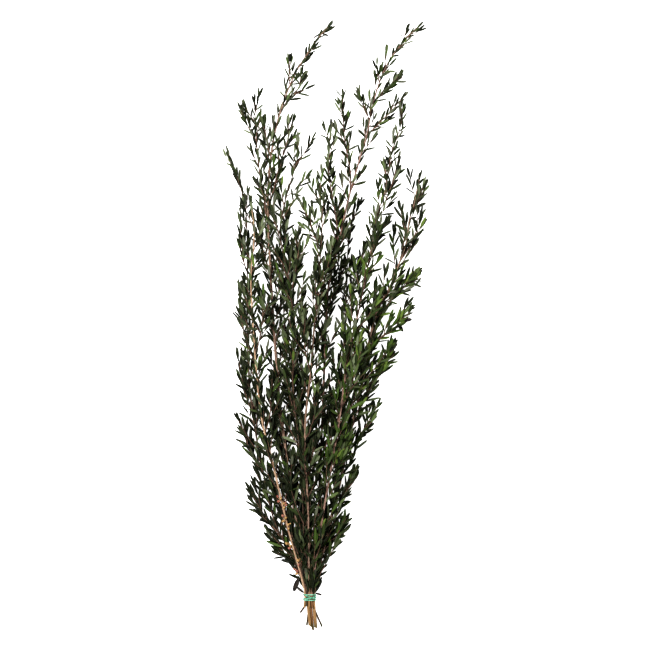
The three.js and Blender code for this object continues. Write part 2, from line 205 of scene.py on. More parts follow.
def smooth(points, gap):
    """Points at about an even gap on a smooth line through the given ones."""
    points = np.asarray(points, float)
    ends = [2 * points[0] - points[1], 2 * points[-1] - points[-2]]
    held = np.vstack([ends[0], points, ends[1]])
    made = []
    for a, b, c, d in zip(held, held[1:], held[2:], held[3:]):
        spans = [np.linalg.norm(b - a), np.linalg.norm(c - b), np.linalg.norm(d - c)]
        t0, t1, t2, t3 = np.cumsum([0] + [max(span, TINY) ** 0.5 for span in spans])
        steps = max(1, round(spans[1] / gap))
        for t in np.linspace(t1, t2, steps, endpoint=False):
            p = (t1 - t) / (t1 - t0) * a + (t - t0) / (t1 - t0) * b
            q = (t2 - t) / (t2 - t1) * b + (t - t1) / (t2 - t1) * c
            r = (t3 - t) / (t3 - t2) * c + (t - t2) / (t3 - t2) * d
            u = (t2 - t) / (t2 - t0) * p + (t - t0) / (t2 - t0) * q
            v = (t3 - t) / (t3 - t1) * q + (t - t1) / (t3 - t1) * r
            made.append((t2 - t) / (t2 - t1) * u + (t - t1) / (t2 - t1) * v)
    made.append(points[-1])
    return np.array(made)


class Line:
    """A limb's centre line and radii, read by the distance from its foot."""

    def __init__(self, points, radii):
        self.points = np.asarray(points, float)
        spans = np.linalg.norm(np.diff(self.points, axis=0), axis=1)
        self.at = np.concatenate([[0], np.cumsum(spans)])
        self.length = self.at[-1]
        self.radii = np.interp(self.at / self.length, np.linspace(0, 1, len(radii)), radii)

    def point(self, distance):
        """The place at a distance."""
        return np.stack([np.interp(distance, self.at, self.points[:, i]) for i in range(3)], -1)

    def heading(self, distance):
        """The direction at a distance."""
        distance = np.clip(distance, 0, self.length)
        return unit(self.point(distance + HEADING_REACH) - self.point(distance - HEADING_REACH))

    def radius(self, distance):
        """The radius at a distance."""
        return np.interp(distance, self.at, self.radii)

    def nearest(self, point):
        """The distance at which the line comes closest to a place."""
        return self.at[np.argmin(np.linalg.norm(self.points - point, axis=1))]


def stem_line(node):
    """A stem's line, through its rings, which stand out as groups of corners at one height."""
    found = corners(node)
    apart = np.linalg.norm(found[:, None] - found[None], axis=2)
    near = found[(apart < RING_REACH).sum(1) > RING_CORNERS / 2]
    near = near[np.argsort(near[:, 1])]
    groups = np.split(near, np.where(np.diff(near[:, 1]) > RING_RISE)[0] + 1)
    points, radii = [], []
    for group in groups:
        middle = group.mean(0)
        radius = np.linalg.norm(group - middle, axis=1).max()
        if radius > RING_RADIUS and len(group) >= RING_CORNERS:
            points.append(middle)
            radii.append(radius)
    path = smooth(points, STEM_POINT_GAP)
    return Line(path, np.interp(path[:, 1], np.array(points)[:, 1], radii))


def twig_line(node, order):
    """A fork's or shoot's line is what its corners lie closest to. The last leaf beyond its end is
    left off."""
    found = corners(node)
    near = found
    for reach in TWIG_REACHES:
        across = np.polyfit(near[:, 1], near[:, 0], order)
        height = np.polyfit(near[:, 1], near[:, 2], order)
        off_across = np.polyval(across, found[:, 1]) - found[:, 0]
        off_height = np.polyval(height, found[:, 1]) - found[:, 2]
        near = found[np.hypot(off_across, off_height) < reach]
    along = np.linspace(near[:, 1].min(), near[:, 1].max(), 60)
    path = np.stack([np.polyval(across, along), along, np.polyval(height, along)], -1)
    whole = Line(path, [1, 1])
    kept = np.linspace(0, max(whole.length - LAST_LEAF, LEAST_TWIG * whole.length), 20)
    return Line(whole.point(kept), [1, 1])


def joined(line, parents, foot_radius):
    """The parent that a fork or shoot grows from, and its line, drawn in at its foot to it."""
    foot = line.points[0]
    parent = min(parents, key=lambda n: np.linalg.norm(parents[n].points - foot, axis=1).min())
    carrier = parents[parent]
    start = carrier.point(max(carrier.nearest(foot) - JOIN_BACK, 0))
    path = smooth(np.vstack([start, line.points[3::4]]), TWIG_POINT_GAP)
    return parent, Line(path, [foot_radius, foot_radius * 0.8, TWIG_TIP])


def nodes_named(start):
    """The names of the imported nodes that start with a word, in order."""
    return sorted(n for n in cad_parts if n.startswith(start))


stems = {name: stem_line(name) for name in nodes_named("stem_")}
forks, fork_parent = {}, {}
for name in nodes_named("fork_"):
    fork_parent[name], forks[name] = joined(twig_line(name, FORK_ORDER), stems, FORK_FOOT)
carriers = {**stems, **forks}
shoots, shoot_parent = {}, {}
for name in nodes_named("shoot_"):
    shoot_parent[name], shoots[name] = joined(twig_line(name, SHOOT_ORDER), carriers, SHOOT_FOOT)

BUTTS = min(stem.points[:, 1].min() for stem in stems.values())
TIPS = cad_high.y / MM
TALLEST = cad_high.z / MM + 4
TIE_LOW, TIE_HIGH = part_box("tie_band")


def share(y):
    """How far along the bundle a height is, from 0 at the butts to 1 at the tips."""
    return (y - BUTTS) / (TIPS - BUTTS)


def above_tie(stem):
    """The distance at which a stem comes out of the tie."""
    return np.interp(TIE_HIGH.y / MM, stem.points[:, 1], stem.at)


def stem_of(limb):
    """The stem that a stem or fork belongs to."""
    return fork_parent.get(limb, limb)


def fan_outline():
    """The fan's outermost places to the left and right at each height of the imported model, with a
    little to spare, and more near the tie."""
    limbs = [limb.points for limb in {**stems, **forks, **shoots}.values()]
    found = np.vstack([corners(n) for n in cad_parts] + limbs)
    lowest = cad_low.y / MM
    heights = np.linspace(lowest, TIPS, 80)
    left, right = [], []
    for y in heights:
        band = found[np.abs(found[:, 1] - y) < 14]
        spare = np.interp(y, [lowest + 80, lowest + 160], [9, 2])
        left.append(band[:, 0].min() - spare)
        right.append(band[:, 0].max() + spare)
    return heights, left, right


OUTLINE_Y, OUTLINE_LEFT, OUTLINE_RIGHT = fan_outline()


def inside(point):
    """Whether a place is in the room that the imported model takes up."""
    left = np.interp(point[1], OUTLINE_Y, OUTLINE_LEFT)
    right = np.interp(point[1], OUTLINE_Y, OUTLINE_RIGHT)
    return left < point[0] < right and point[2] < TALLEST and point[1] < TIPS + 3


# ---------------------------------------------------------------- finishes


class Wire:
    """A shader socket; an expression on it adds the Math nodes that work it out."""

    def __init__(self, finish, socket):
        self.finish = finish
        self.socket = socket

    def math(self, operation, *values):
        """A Math node on values."""
        sockets = dict(enumerate(values))
        return self.finish.add("ShaderNodeMath", {"operation": operation}, sockets)

    def __add__(self, other):
        return self.math("ADD", self, other)

    def __sub__(self, other):
        return self.math("SUBTRACT", self, other)

    def __rsub__(self, other):
        return self.math("SUBTRACT", other, self)

    def __mul__(self, other):
        return self.math("MULTIPLY", self, other)

    def __truediv__(self, other):
        return self.math("DIVIDE", self, other)

    def __abs__(self):
        return self.math("ABSOLUTE", self)

    __radd__ = __add__
    __rmul__ = __mul__

    def floor(self):
        """The whole part of a value."""
        return self.math("FLOOR", self)

    def fraction(self):
        """What is left above the whole part."""
        return self.math("FRACT", self)


class Finish:
    """One material and its nodes."""

    def __init__(self, name):
        self.material = bpy.data.materials.new(name)
        self.material.use_nodes = True
        self.tree = self.material.node_tree
        self.tree.nodes.clear()

    def add(self, kind, settings=None, values=None, output=0):
        """A node of any kind: its settings, then the values or links of its sockets."""
        node = self.tree.nodes.new(kind)
        for key, value in (settings or {}).items():
            if key == "stops":
                ramp = node.color_ramp.elements
                while len(ramp) < len(value):
                    ramp.new(0.5)
                for stop, (place, shade) in zip(ramp, value):
                    stop.position = place
                    stop.color = shade
            else:
                setattr(node, key, value)
        for key, value in (values or {}).items():
            if isinstance(value, Wire):
                self.tree.links.new(value.socket, node.inputs[key])
            else:
                node.inputs[key].default_value = value
        return Wire(self, node.outputs[output])

    def place(self):
        """The place on the piece, in metres."""
        return self.add("ShaderNodeTexCoord", None, None, 3)

    def part(self, vector, index):
        """One of the three numbers of a vector."""
        return self.add("ShaderNodeSeparateXYZ", None, {0: vector}, index)

    def stretched(self, vector, factors):
        """A vector with each of its numbers multiplied."""
        settings = {"operation": "MULTIPLY"}
        return self.add("ShaderNodeVectorMath", settings, {0: vector, 1: factors})

    def noise(self, vector, scale, detail, roughness=0.5, dimensions="3D"):
        """Soft uneven patches from 0 to 1."""
        sockets = {"Vector": vector, "Scale": scale, "Detail": detail, "Roughness": roughness}
        return self.add("ShaderNodeTexNoise", {"noise_dimensions": dimensions}, sockets)

    def mix(self, factor, first, second):
        """The first colour where the factor is 0 and the second where it is 1."""
        settings = {"data_type": "RGBA"}
        return self.add("ShaderNodeMix", settings, {0: factor, 6: first, 7: second}, 2)

    def ramp(self, value, colours):
        """The leaf colour at an age."""
        stops = list(zip(AGES, map(colour, colours)))
        return self.add("ShaderNodeValToRGB", {"stops": stops}, {0: value})

    def step(self, value, low, high):
        """0 below low, 1 above high, and smooth between."""
        settings = {"interpolation_type": "SMOOTHSTEP"}
        sockets = {"Value": value, "From Min": low, "From Max": high}
        return self.add("ShaderNodeMapRange", settings, sockets)

    def bump(self, height, strength, distance):
        """A surface that rises and falls with a height."""
        sockets = {"Strength": strength, "Distance": distance, "Height": height}
        return self.add("ShaderNodeBump", None, sockets)

    def shader(self, values):
        """The finished material."""
        shader = self.add("ShaderNodeBsdfPrincipled", None, values)
        output = self.tree.nodes.new("ShaderNodeOutputMaterial")
        self.tree.links.new(shader.socket, output.inputs["Surface"])
        return self.material


def colour(text):
    """A colour from its usual six digits, as the shader takes it."""
    parts = [int(text[i : i + 2], 16) / 255 for i in (0, 2, 4)]
    linear = [p / 12.92 if p < 0.04045 else ((p + 0.055) / 1.055) ** 2.4 for p in parts]
    return tuple(linear + [1])


# Leaf colours, from the oldest leaves to the freshest, and where each stands on the way
AGES = (0.0, 0.28, 0.52, 0.76, 1.0)
OLIVE_LEAVES = ("10140a", "272c1a", "424834", "5f6252", "828577")
GREEN_LEAVES = ("0e130a", "232d14", "37471f", "4c612a", "6a7c3c")
LEAF_GRAIN = (160, 24, 1)  # streaks run along a leaf
BARK_GRAIN = (1300, 120, 1300)  # and along a limb


def leaf_finish():
    """Sixteen leaf colours: rows from the oldest, darkest leaves to fresh ones, and columns from
    olive to green. The darker rows also give leaves low in the bundle their painted shade. The
    left half of each swatch is a leaf's upper side and the right half its paler underside."""
    f = Finish("leaf")
    uv = f.add("ShaderNodeUVMap", {"uv_map": "OFBake"})
    u = f.part(uv, 0) * SWATCHES
    v = f.part(uv, 1) * SWATCHES
    column = u.floor()
    row = v.floor()
    across = u - column
    along = v - row
    under = f.step(across, 0.499, 0.501)
    off_rib = abs((across * 2).fraction() - 0.5)

    age = (row + (column * 0.618).fraction() * 0.8 + 0.1) / SWATCHES
    olive = f.ramp(age, OLIVE_LEAVES)
    green = f.ramp(age, GREEN_LEAVES)
    upper = f.mix(column / (SWATCHES - 1), olive, green)
    beneath = f.mix(0.35, upper, colour("666a5a"))
    blade = f.mix(under, upper, beneath)

    streaks = f.noise(f.stretched(uv, LEAF_GRAIN), 1.0, 3.0, dimensions="2D")
    blade = f.mix(f.step(streaks, 0.35, 0.75) * 0.2, blade, colour("4f5344"))
    rib = 1 - f.step(off_rib, 0.02, 0.07)
    blade = f.mix(rib * 0.4, blade, colour("636658"))
    edge = f.step(off_rib, 0.4, 0.5)
    blade = f.mix(edge * 0.3, blade, colour("14180f"))

    some_swatches = f.step((column * 0.37 + row * 0.61).fraction(), 0.5, 0.6)
    dry_tip = f.step(along, 0.86, 0.95) * some_swatches
    blade = f.mix(dry_tip * 0.6, blade, colour("6b4a2c"))
    stalk = 1 - f.step(along, 0.07, 0.17)
    blade = f.mix(stalk * 0.55, blade, colour("5c4030"))
    rough = 0.42 + under * 0.2 + streaks * 0.12
    return f.shader({"Base Color": blade, "Roughness": rough, "Specular IOR Level": 0.07})


def bark_finish(name, light, dark, butt):
    """Papery bark with long grain and pale streaks on its ridges, which are paler bark and also a
    painted highlight, warmer and barer at the cut butts.
    """
    f = Finish(name)
    place = f.place()
    height = f.part(place, 1)
    grain = f.noise(f.stretched(place, BARK_GRAIN), 1.0, 4.0, 0.62)
    patches = f.noise(place, 55.0, 2.0)
    skin = f.mix(f.step(grain, 0.36, 0.68), colour(dark), colour(light))
    skin = f.mix(f.step(patches, 0.5, 0.72) * 0.5, skin, colour(dark))
    bare = 1 - f.step(height, BUTTS * MM + 0.03, BUTTS * MM + 0.06)
    skin = f.mix(bare * 0.75, skin, colour(butt))
    skin = f.mix(bare * f.step(patches, 0.42, 0.6) * 0.4, skin, colour("4d4426"))
    wet_end = 1 - f.step(height, BUTTS * MM + 0.004, BUTTS * MM + 0.012)
    skin = f.mix(wet_end * 0.7, skin, colour("39401f"))
    # pale streaks on the raised grain: paler bark, and also a painted highlight on the ridges
    skin = f.mix(f.step(grain, 0.6, 0.78) * 0.4, skin, colour("bda588"))
    values = {"Base Color": skin, "Roughness": 0.62 + grain * 0.25, "Specular IOR Level": 0.3}
    values["Normal"] = f.bump(grain, 0.5, 0.0004)
    return f.shader(values)


def clouded_finish(name, first, second, scale, rough):
    """Two colours in soft patches, with a slightly uneven surface."""
    f = Finish(name)
    cloud = f.noise(f.place(), scale, 4.0)
    skin = f.mix(f.step(cloud, 0.35, 0.68), colour(first), colour(second))
    values = {"Base Color": skin, "Roughness": rough + cloud * 0.15, "Specular IOR Level": 0.35}
    values["Normal"] = f.bump(cloud, 0.4, 0.0002)
    return f.shader(values)


LEAF = leaf_finish()
BARK = {
    "pale": bark_finish("pale_bark", "ccb095", "8f735e", "a98456"),
    "tan": bark_finish("tan_bark", "a48b7a", "654f43", "ab8455"),
    "pink": bark_finish("pink_bark", "a68a7e", "634b40", "84562e"),
    "dark": bark_finish("dark_bark", "635041", "32261e", "3f352c"),
    "twig": bark_finish("twig_bark", "84685a", "43302a", "4b3a2d"),
}
CUT_WOOD = clouded_finish("cut_wood", "caa873", "8d8a4e", scale=900.0, rough=0.7)
PITH = clouded_finish("pith", "6a4a2a", "3d3a20", scale=1500.0, rough=0.8)
RUBBER = clouded_finish("mint_rubber", "3f8a6b", "98cbb2", scale=260.0, rough=0.4)
CAPSULE = clouded_finish("dry_capsule", "7d3f36", "b98d78", scale=700.0, rough=0.6)
STRAW = clouded_finish("straw", "8f6d42", "c2a473", scale=700.0, rough=0.6)
DRY_LEAF = clouded_finish("dry_leaf", "38302a", "1e1a16", scale=300.0, rough=0.6)

STEM_BARK = {
    "stem_tall_left": "tan",
    "stem_left_front": "pale",
    "stem_outer_right": "tan",
    "stem_centre": "tan",
    "stem_tall_right": "pink",
    "stem_right": "pink",
}


# ---------------------------------------------------------------- modelling by hand


def nothing_selected():
    """Goes to object mode and deselects everything."""
    if bpy.context.object and bpy.context.object.mode != "OBJECT":
        bpy.ops.object.mode_set(mode="OBJECT")
    bpy.ops.object.select_all(action="DESELECT")


def only_selected(ob):
    """Selects one object and makes it the active one."""
    nothing_selected()
    ob.select_set(True)
    bpy.context.view_layer.objects.active = ob


def pick(test):
    """Selects the vertices of the mesh in edit mode that pass a test on their place."""
    bpy.ops.mesh.select_all(action="DESELECT")
    bpy.ops.mesh.select_mode(type="VERT")
    bpy.ops.object.mode_set(mode="OBJECT")
    for v in bpy.context.object.data.vertices:
        v.select = test(v.co)
    bpy.ops.object.mode_set(mode="EDIT")


def draw_out(rise):
    """Extrudes what is selected along +Y."""
    bpy.ops.mesh.extrude_region_move(TRANSFORM_OT_translate={"value": (0, rise, 0)})


def face_outwards():
    """Turns all faces of the mesh in edit mode outwards, and goes back to object mode."""
    bpy.ops.mesh.select_all(action="SELECT")
    bpy.ops.mesh.normals_make_consistent(inside=False)
    bpy.ops.object.mode_set(mode="OBJECT")


def upright_disc(sides, radius):
    """A filled ring square to Y, in edit mode with its face selected."""
    nothing_selected()
    bpy.ops.mesh.primitive_circle_add(
        vertices=sides,
        radius=radius,
        fill_type="NGON",
        location=(0, 0, 0),
        rotation=(math.pi / 2, 0, 0),
    )
    disc = bpy.context.object
    bpy.ops.object.transform_apply(location=False, rotation=True, scale=False)
    bpy.ops.object.mode_set(mode="EDIT")
    bpy.ops.mesh.select_mode(type="FACE")
    bpy.ops.mesh.select_all(action="SELECT")
    return disc


class Master:
    """A shape that is modelled once and then copied, taken off the scene."""

    def __init__(self, ob):
        mesh = ob.data
        self.corners = np.array([v.co[:] for v in mesh.vertices])
        self.faces = [tuple(p.vertices) for p in mesh.polygons]
        self.finish = [p.material_index for p in mesh.polygons]
        self.uv = None
        if mesh.uv_layers.get("OFBake"):
            self.uv = np.array([d.uv[:] for d in mesh.uv_layers["OFBake"].data])
        bpy.data.objects.remove(ob)


def flat_leaf(kind, stations):
    """A lance leaf with no wall yet: a narrow strip drawn out row by row and folded along its
    rib."""
    nothing_selected()
    plump = 1 + KIND_BREADTH * math.sin(kind * 2.1)
    first = stations[1]
    bpy.ops.mesh.primitive_grid_add(x_subdivisions=2, y_subdivisions=1, size=1, location=(0, 0, 0))
    ob = bpy.context.object
    bpy.ops.object.mode_set(mode="EDIT")
    bpy.ops.mesh.select_all(action="SELECT")
    bpy.ops.transform.resize(value=(LEAF_WIDTH * MM * LEAF_OUTLINE[0], first, 1))
    bpy.ops.transform.translate(value=(0, first / 2, 0))
    last = LEAF_OUTLINE[0]
    for i, wide in enumerate(LEAF_OUTLINE[1:], 1):
        if i > 1:
            draw_out(stations[i] - stations[i - 1])
        else:
            pick(lambda co: co.y > first * 0.9)
        here = wide * (plump if 1 < i < len(stations) - 1 else 1)
        centre = (0, stations[i], 0)
        bpy.ops.transform.resize(value=(here / last, 1, 1), center_override=centre)
        last = here
    pick(lambda co: abs(co.x) < TINY and TINY < co.y < stations[-1] - TINY)
    fold = LEAF_WIDTH * MM * KIND_FOLDS[kind % len(KIND_FOLDS)]
    bpy.ops.transform.translate(value=(0, 0, -fold))
    bpy.ops.object.mode_set(mode="OBJECT")
    return ob


def model_leaf(kind):
    """A leaf with its wall. Its upper side and its underside each lie over their half of the first
    swatch."""
    stations = [s * LEAF_LENGTH * MM for s in LEAF_STATIONS]
    ob = flat_leaf(kind, stations)
    mesh = ob.data
    for layer in list(mesh.uv_layers):
        mesh.uv_layers.remove(layer)
    layer = mesh.uv_layers.new(name="OFBake")
    widest = LEAF_WIDTH * MM * WIDEST_KIND
    for loop in mesh.loops:
        co = mesh.vertices[loop.vertex_index].co
        layer.data[loop.index].uv = (co.x / widest + 0.5, co.y / stations[-1])
    wall = ob.modifiers.new("wall", "SOLIDIFY")
    wall.thickness = LEAF_THICKNESS * MM
    wall.offset = 0
    bpy.ops.object.modifier_apply(modifier="wall")
    layer = mesh.uv_layers["OFBake"]
    inner = 1 - 2 * SWATCH_EDGE
    for face in mesh.polygons:
        half = 0 if face.normal.z > 0.2 else 0.5
        for index in face.loop_indices:
            u, v = layer.data[index].uv
            u = (SWATCH_EDGE + inner * u) / 2 + half
            v = SWATCH_EDGE + inner * v
            layer.data[index].uv = (u / SWATCHES, v / SWATCHES)
    return Master(ob)


def model_limb(sides, rings):
    """A straight round limb of unit radius and length."""
    ob = upright_disc(sides, 1)
    for _ in range(rings):
        draw_out(1 / rings)
    face_outwards()
    return ob


def with_cut_face(ob):
    """Bark edge, wood and pith on the cut face at a limb's foot."""
    for i, inset in enumerate(CUT_INSETS):
        bpy.ops.object.mode_set(mode="EDIT")
        bpy.ops.mesh.select_all(action="DESELECT")
        bpy.ops.mesh.select_mode(type="FACE")
        bpy.ops.object.mode_set(mode="OBJECT")
        for face in ob.data.polygons:
            face.select = face.normal.y < -0.9 and face.center.xyz.length < 0.05
        bpy.ops.object.mode_set(mode="EDIT")
        bpy.ops.mesh.inset(thickness=inset, depth=0)
        bpy.ops.object.mode_set(mode="OBJECT")
        for face in ob.data.polygons:
            if face.select:
                face.material_index = i + 1
    return ob


def model_capsule():
    """A small dry flower cup: a round base that swells, narrows and opens in a sunken mouth."""
    ob = upright_disc(8, 0.4 * MM)
    y = 0
    for rise, wider in ((0.7, 2.6), (0.9, 1.5), (0.9, 1.1), (0.8, 0.82)):
        y += rise
        draw_out(rise * MM)
        bpy.ops.transform.resize(value=(wider, 1, wider), center_override=(0, y * MM, 0))
    bpy.ops.mesh.inset(thickness=0.35 * MM, depth=-0.8 * MM)
    face_outwards()
    return Master(ob)


LEAVES = [model_leaf(kind) for kind in range(LEAF_KINDS)]
STEM = Master(with_cut_face(model_limb(STEM_SIDES, STEM_RINGS)))
TWIG = Master(model_limb(TWIG_SIDES, TWIG_RINGS))
CAPSULE_SHAPE = model_capsule()


# ---------------------------------------------------------------- laying copies


def square_to(heading):
    """The level direction across a heading, and the one that is square to both."""
    side = unit(np.cross(heading, UP))
    return side, np.cross(side, heading)


def lay_limb(master, line, swell=None, slant=0.0):
    """A master limb's corners laid along a line, at the line's own radii. Its foot is cut on the
    slant."""
    x, y, z = master.corners.T
    distance = y * line.length
    heading = line.heading(distance)
    side, front = square_to(heading)
    radius = line.radius(distance)
    if swell is not None:
        radius = radius * swell(distance)
    made = line.point(distance)
    made = made + side * (x * radius)[:, None] + front * (z * radius)[:, None]
    return made + heading * (slant * x * radius * (y < TINY))[:, None]


class Heap:
    """Many laid copies that make one piece."""

    def __init__(self):
        self.corners, self.faces, self.finish, self.uv = [], [], [], []
        self.count = 0

    def lay(self, master, made, uv_shift=None, finish_shift=0):
        """Adds a copy of a master whose corners have been laid in their places."""
        self.corners.append(made)
        self.faces += [tuple(i + self.count for i in face) for face in master.faces]
        self.finish += [i + finish_shift for i in master.finish]
        if uv_shift is not None:
            self.uv.append(master.uv + uv_shift)
        self.count += len(made)

    def piece(self, name, finishes, slot, *nodes):
        """Makes the piece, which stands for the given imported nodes."""
        mesh = bpy.data.meshes.new(name)
        points = np.vstack(self.corners) * MM
        mesh.from_pydata(points.tolist(), [], self.faces)
        for finish in finishes:
            mesh.materials.append(finish)
        mesh.polygons.foreach_set("material_index", self.finish)
        if self.uv:
            layer = mesh.uv_layers.new(name="OFBake")
            layer.data.foreach_set("uv", np.vstack(self.uv).ravel())
        mesh.update()
        ob = bpy.data.objects.new(name, mesh)
        bpy.context.scene.collection.objects.link(ob)
        only_selected(ob)
        bpy.ops.object.shade_smooth_by_angle(angle=math.radians(50))
        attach(ob, "root")
        if nodes:
            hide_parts(*nodes)
        return ob


def hides_bare_stem(foot, tip):
    """Whether a leaf would lie over the bare foot of the left front stem."""
    bare = stems[BARE_STEM]
    for part in (0.3, 0.65, 1.0):
        spot = foot + (tip - foot) * part
        under = bare.point(bare.nearest(spot))
        near = math.hypot(spot[0] - under[0], spot[1] - under[1]) < BARE_WIDTH
        if near and spot[2] > under[2] and share(spot[1]) < BARE_UP_TO:
            return True
    return False


def lay_leaf(heap, foot, axis, facing, size, swatch):
    """One leaf from its foot along its axis, with its upper side towards facing. A leaf that meets
    the floor lies on it, and one that would leave the model's room is left out."""
    length = LEAF_LENGTH * size * rng.uniform(*LENGTH_VARIES)
    bow = rng.normal(*BOW_VARIES)
    roll = rng.normal(*ROLL_VARIES)
    kind = LEAVES[rng.integers(LEAF_KINDS)]
    wide = np.interp(share(foot[1]), HEIGHTS, LEAF_BREADTH) * rng.uniform(*WIDTH_VARIES)
    tip = foot + axis * length
    if not inside(tip) or not inside(foot):
        return
    if tip[2] < NEAR_FLOOR:
        axis = unit([axis[0], axis[1], (rng.uniform(0.5, 3.0) - foot[2]) / length])
        facing = UP + rng.normal(0, 0.2, 3)
        roll *= 0.4
    if hides_bare_stem(foot, tip):
        return
    facing = unit(facing - axis * np.dot(facing, axis))
    across = np.cross(axis, facing)
    facing, across = (
        facing * math.cos(roll) + across * math.sin(roll),
        across * math.cos(roll) - facing * math.sin(roll),
    )
    x, y, z = kind.corners.T / MM
    y = y * length / LEAF_LENGTH
    z = z + bow * length * (y / length) ** 2
    made = foot + np.outer(x * wide, across) + np.outer(y, axis) + np.outer(z, facing)
    made[:, 2] += max(FLOOR_GAP - made[:, 2].min(), 0)
    heap.lay(kind, made, np.array(swatch) / SWATCHES)


def lean_from(heading, turn, lean):
    """The direction that leans away from a heading, at a turn about it, and the one straight
    outwards there."""
    side, front = square_to(heading)
    outward = side * math.cos(turn) + front * math.sin(turn)
    return heading * math.cos(lean) + outward * math.sin(lean), outward


# ---------------------------------------------------------------- leafy twigs

# Painted shade: leaves nearer the floor take darker leaf colours, and the highest leaves a little
# lighter
PAINTED_SHADE_BELOW = ((0, 30, 60, TALLEST), (0.9, 0.4, 0, -0.25))  # heights above the floor, and rows
LIGHTER_ABOVE = ((0.35, 0.8), (0, 0.75))  # shares of the bundle's length, and rows


def growth_of(limb):
    """The shares of the leaf colours on a limb."""
    return FRESH_GROWTH if stem_of(limb) in FRESH_STEMS else USUAL_GROWTH


def slot_for(limb):
    """The word fresh_leaf for a limb on the fresh stems, and leaf for any other."""
    return "fresh_leaf" if stem_of(limb) in FRESH_STEMS else "leaf"


def crowding(limb, at):
    """Leaves and twigs stand closer together on the fresh part of the fresh stems."""
    return CROWDED if stem_of(limb) in FRESH_STEMS and at < FRESH_UP_TO else 1.0


def swatch_at(point, growth):
    """Which leaf colour a leaf takes: the nearer the floor, the darker its row, as painted shade,
    and lighter towards the tips.
    """
    columns, rows = growth if share(point[1]) < FRESH_UP_TO else USUAL_GROWTH
    # painted shade: a leaf low in the bundle takes a darker row
    depth = np.interp(point[2], *PAINTED_SHADE_BELOW) + rng.uniform(-0.4, 0.4)
    depth -= np.interp(share(point[1]), *LIGHTER_ABOVE)
    row = rng.choice(SWATCHES, p=rows) - round(depth)
    return rng.choice(SWATCHES, p=columns), int(np.clip(row, 0, SWATCHES - 1))


def leafy(heap, line, start, gap, size, growth, turn):
    """Leaves all round a twig from a distance along it to its tip, closing in towards the tip."""
    distance = start
    while distance < line.length:
        near_tip = distance / line.length
        lean = math.radians(np.interp(near_tip, *LEAN_ALONG) + rng.normal(0, 8))
        grown = size * np.interp(near_tip, *SIZE_ALONG)
        heading = line.heading(distance)
        axis = lean_from(heading, turn, lean)[0]
        foot = line.point(distance)
        facing = heading - axis * np.dot(heading, axis) + UP * 0.9
        lay_leaf(heap, foot, axis, facing, grown, swatch_at(foot, growth))
        turn += GOLDEN_ANGLE + rng.normal(0, 0.25)
        distance += gap * rng.uniform(0.75, 1.25)
    axis = lean_from(line.heading(line.length), turn, lean=0.12)[0]
    foot = line.point(line.length)
    lay_leaf(heap, foot, axis, UP, size * 0.8, swatch_at(foot, growth))


def side_twig(parent, distance, turn, lean, length, foot_radius=TWIG_FOOT):
    """A twig's line that leans out of its parent and then turns up along it."""
    heading = parent.heading(distance)
    first = lean_from(heading, turn, lean)[0]
    point = parent.point(distance)
    points = [point]
    for i in range(TWIG_STEPS):
        way = first * (1 - TURN_UP * i / TWIG_STEPS) + heading * TURN_UP * i / TWIG_STEPS
        point = point + unit(way) * length / TWIG_STEPS
        if point[2] < NEAR_FLOOR:
            point = point + UP * (NEAR_FLOOR - point[2])
        points.append(point)
    return Line(points, [foot_radius, TWIG_TIP])


# The twigs of a stem, its forks and its shoots make one piece
twig_heaps = {name: Heap() for name in stems}


def grow_twigs(leaf_heap, limb, line, start, end, gaps=(1,), lengths=1.0, bare_top=0.0):
    """Short leafy side twigs all along a limb, from start to end along it. Their usual gap is
    multiplied by gaps, read evenly from the start to the end, and their usual length by lengths.
    Of the twigs on the limb's upper side, the share bare_top is left out, so that the wood
    shows."""
    growth = growth_of(limb)
    heap = twig_heaps[stem_of(limb)]
    distance = start
    turn = rng.uniform(0, FULL_TURN)
    while distance < end:
        at = share(line.point(distance)[1])
        length = np.interp(at, HEIGHTS, SHOOT_LENGTH) * lengths * rng.uniform(0.65, 1.3)
        lean = math.radians(np.interp(at, HEIGHTS, SHOOT_LEAN) + rng.normal(0, 6))
        twig = side_twig(line, distance, turn, lean, length)
        hidden = math.sin(turn) > 0.5 and rng.random() < bare_top
        if inside(twig.points[-1]) and not hidden:
            heap.lay(TWIG, lay_limb(TWIG, twig))
            gap = np.interp(at, HEIGHTS, LEAF_GAP)
            size = np.interp(at, HEIGHTS, LEAF_SIZE)
            leafy(leaf_heap, twig, 0.2 * length, gap, size, growth, turn)
        turn += GOLDEN_ANGLE + rng.normal(0, 0.3)
        spread = np.interp(distance, np.linspace(start, end, len(gaps)), gaps)
        spread = spread * rng.uniform(0.7, 1.3)
        distance += np.interp(at, HEIGHTS, SHOOT_GAP) * spread


# ---------------------------------------------------------------- stems, forks and shoots


def knotted(line):
    """A stem keeps its thickness well up the fan, and swells a little where twigs have grown."""
    evenly = np.arange(15, line.length, KNOT_GAP)
    knots = evenly + rng.uniform(-KNOT_SHIFT, KNOT_SHIFT, len(evenly))

    def swell(distance):
        nearest = np.abs(np.subtract.outer(distance, knots)).min(-1)
        kept = 1 + MIDDLE_SWELL * np.sin(math.pi * distance / line.length) ** 2
        kept = kept + FOOT_SWELL * np.exp(-((distance / FOOT_LENGTH) ** 2))
        return kept * (1 + KNOT_SWELL * np.exp(-((nearest / KNOT_LENGTH) ** 2)))

    return swell


